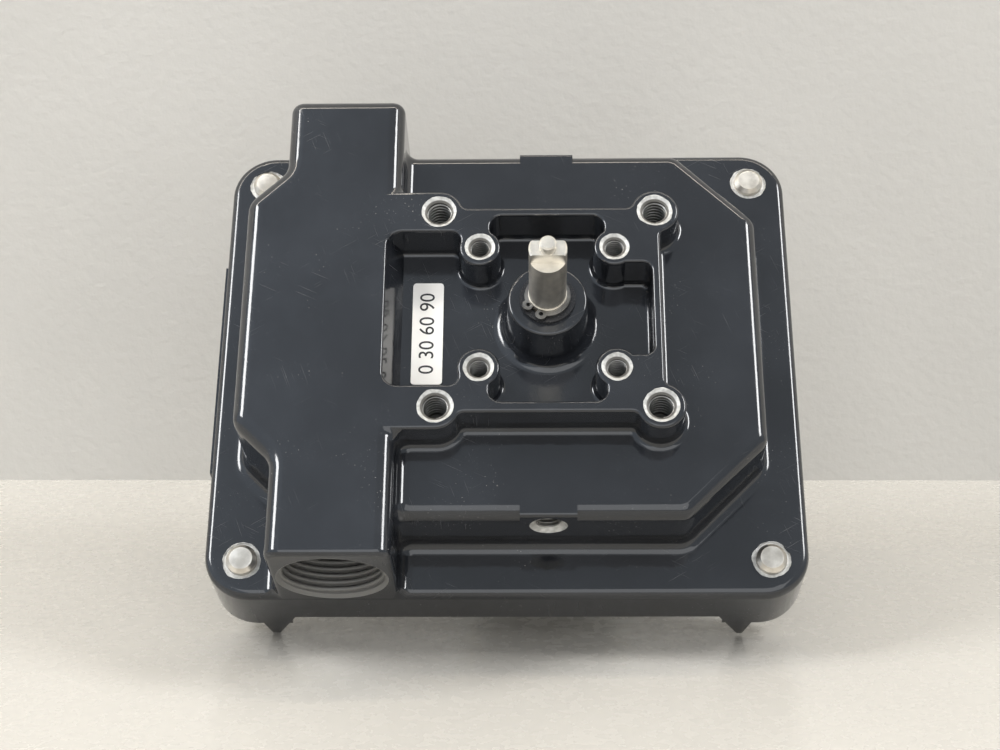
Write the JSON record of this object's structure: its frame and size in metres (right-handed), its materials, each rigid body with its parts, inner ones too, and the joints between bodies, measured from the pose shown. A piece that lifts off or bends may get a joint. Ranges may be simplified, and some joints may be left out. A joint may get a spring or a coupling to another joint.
{
  "type": "valve position indicator",
  "caption": "Rotary valve position indicator with cast housing, drive shaft, limit switches on cams, conduit entry and a clear indicator dome.",
  "frame": {"origin": "centre of the square hole patterns in the mounting face, on the shaft axis", "axes": "+Z out of the mounting face along the drive shaft, -Y out of the conduit entry, -X towards the conduit block"},
  "size_m": [0.1579, 0.1344, 0.137],
  "materials": {
    "black_coat": "glossy black epoxy powder coat on cast aluminium",
    "seal_rubber": "moulded nitrile rubber",
    "stainless": "stainless steel",
    "bronze": "sintered bronze",
    "clear_dome": "clear moulded polycarbonate",
    "switch_case": "moulded phenolic",
    "zinc_steel": "zinc plated steel",
    "terminal_plastic": "moulded nylon",
    "earth_green": "green dyed screw",
    "black_washer": "acetal",
    "label_white": "printed vinyl label",
    "shaft_steel": "turned stainless steel",
    "ring_steel": "spring steel",
    "cam_hub_plastic": "moulded acetal",
    "cam_green": "moulded acetal",
    "cam_red": "moulded acetal",
    "drum_black": "moulded ABS",
    "panel_yellow": "moulded ABS"
  },
  "bodies": {
    "housing": {"housing": "black_coat", "cover": "black_coat", "cover_gasket": "seal_rubber", "cover_bolts": "stainless", "bolt_washers": "stainless", "housing_bush": "bronze", "cover_bush": "bronze", "beacon_dome": "clear_dome", "dome_gasket": "seal_rubber", "dome_screws": "stainless", "switch_open": "switch_case", "switch_closed": "switch_case", "lever_pins": "stainless", "switch_blades": "bronze", "switch_bracket": "zinc_steel", "bracket_screws": "zinc_steel", "switch_screws": "zinc_steel", "switch_nuts": "zinc_steel", "terminal_strip": "terminal_plastic", "terminal_screws": "zinc_steel", "strip_screws": "zinc_steel", "earth_screw": "earth_green", "thrust_washer": "black_washer", "number_label": "label_white"},
    "shaft": {"shaft": "shaft_steel", "shaft_seals": "seal_rubber", "retaining_ring": "ring_steel", "cam_hub": "cam_hub_plastic", "cam_open": "cam_green", "cam_closed": "cam_red", "cam_spring": "zinc_steel", "indicator_drum": "drum_black", "indicator_panels": "panel_yellow", "drum_screw": "stainless"},
    "lever_open": {"lever_open": "stainless"},
    "lever_closed": {"lever_closed": "stainless"}
  },
  "joints": [
    {"name": "shaft_turn", "type": "hinge", "parent": "housing", "child": "shaft", "pos_m": [0, 0, 0], "axis": [0, 0, 1], "range_deg": [0, 90]},
    {"name": "lever_open_press", "type": "hinge", "parent": "housing", "child": "lever_open", "pos_m": [0.0172, -0.0125, -0.02715], "axis": [0, 0, -1], "range_deg": [0, 9]},
    {"name": "lever_closed_release", "type": "hinge", "parent": "housing", "child": "lever_closed", "pos_m": [0.0172, -0.0125, -0.03745], "axis": [0, 0, 1], "range_deg": [0, 9]}
  ],
  "couplings": [
    {"joint": "lever_open_press", "follows": "shaft_turn", "ratio": 0.1},
    {"joint": "lever_closed_release", "follows": "shaft_turn", "ratio": 0.1}
  ]
}
